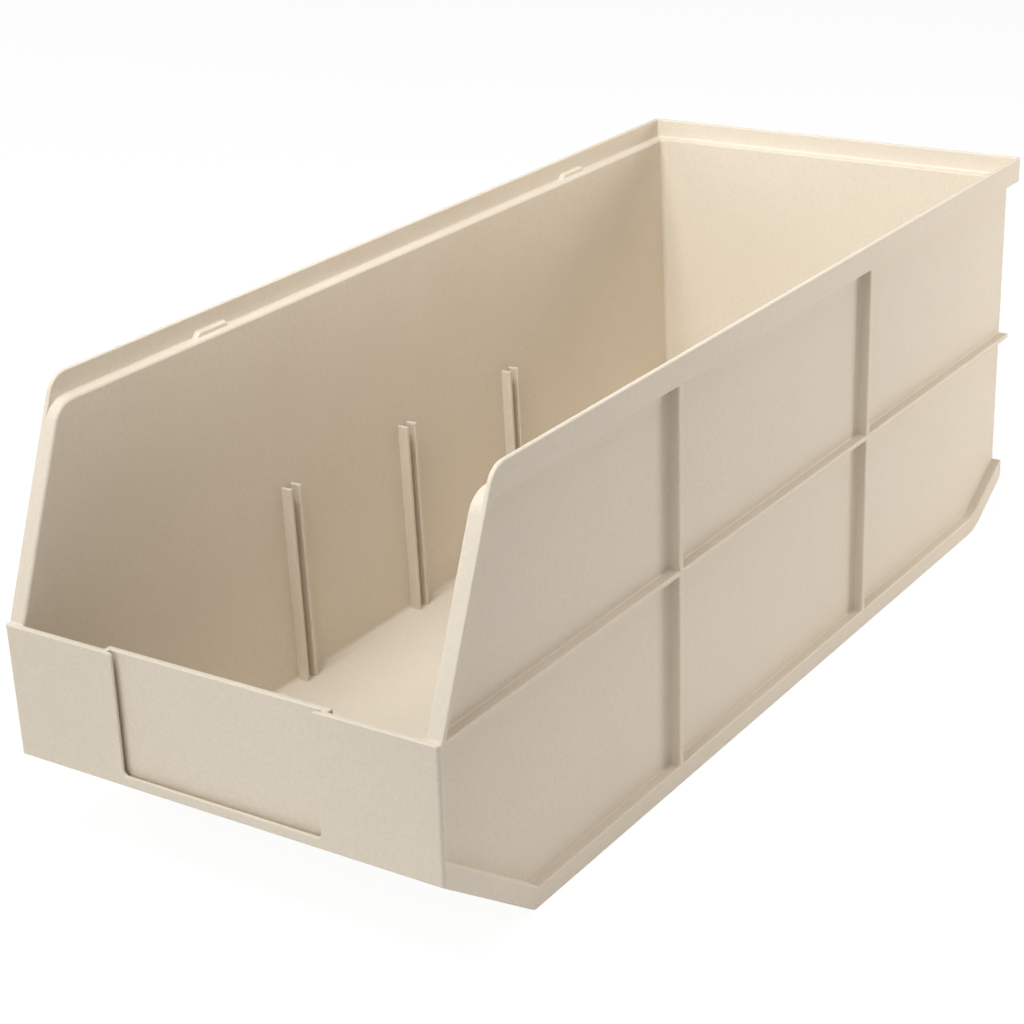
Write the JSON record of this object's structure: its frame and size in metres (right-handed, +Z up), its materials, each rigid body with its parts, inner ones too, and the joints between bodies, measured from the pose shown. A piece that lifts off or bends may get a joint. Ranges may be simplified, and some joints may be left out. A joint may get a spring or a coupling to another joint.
{
  "type": "stackable shelf bin",
  "caption": "Long open-top stackable shelf bin moulded in plastic, with a low front wall, label recess, ledged rim and ribbed sides.",
  "frame": {"origin": "under the middle of the bin, at the height of the surface that it stands on", "axes": "+X to the bin's right seen from its low front, +Y from the front to the rear, +Z up"},
  "size_m": [0.21, 0.512, 0.188],
  "materials": {
    "moulding": "ivory polypropylene, matte with a fine grain"
  },
  "bodies": {
    "root": {"floor_panel": "moulding", "front_ramp": "moulding", "label_panel": "moulding", "label_sill": "moulding", "left_base_band": "moulding", "left_front_divider_guide": "moulding", "left_front_flange": "moulding", "left_front_panel": "moulding", "left_front_rib": "moulding", "left_front_stacking_lug": "moulding", "left_ledge": "moulding", "left_lip": "moulding", "left_mid_rib": "moulding", "left_middle_divider_guide": "moulding", "left_rear_divider_guide": "moulding", "left_rear_rib": "moulding", "left_rear_stacking_lug": "moulding", "left_side_wall": "moulding", "rear_ledge": "moulding", "rear_lip": "moulding", "rear_ramp": "moulding", "rear_wall": "moulding", "right_base_band": "moulding", "right_front_divider_guide": "moulding", "right_front_flange": "moulding", "right_front_panel": "moulding", "right_front_rib": "moulding", "right_front_stacking_lug": "moulding", "right_ledge": "moulding", "right_lip": "moulding", "right_mid_rib": "moulding", "right_middle_divider_guide": "moulding", "right_rear_divider_guide": "moulding", "right_rear_rib": "moulding", "right_rear_stacking_lug": "moulding", "right_side_wall": "moulding"}
  },
  "joints": []
}
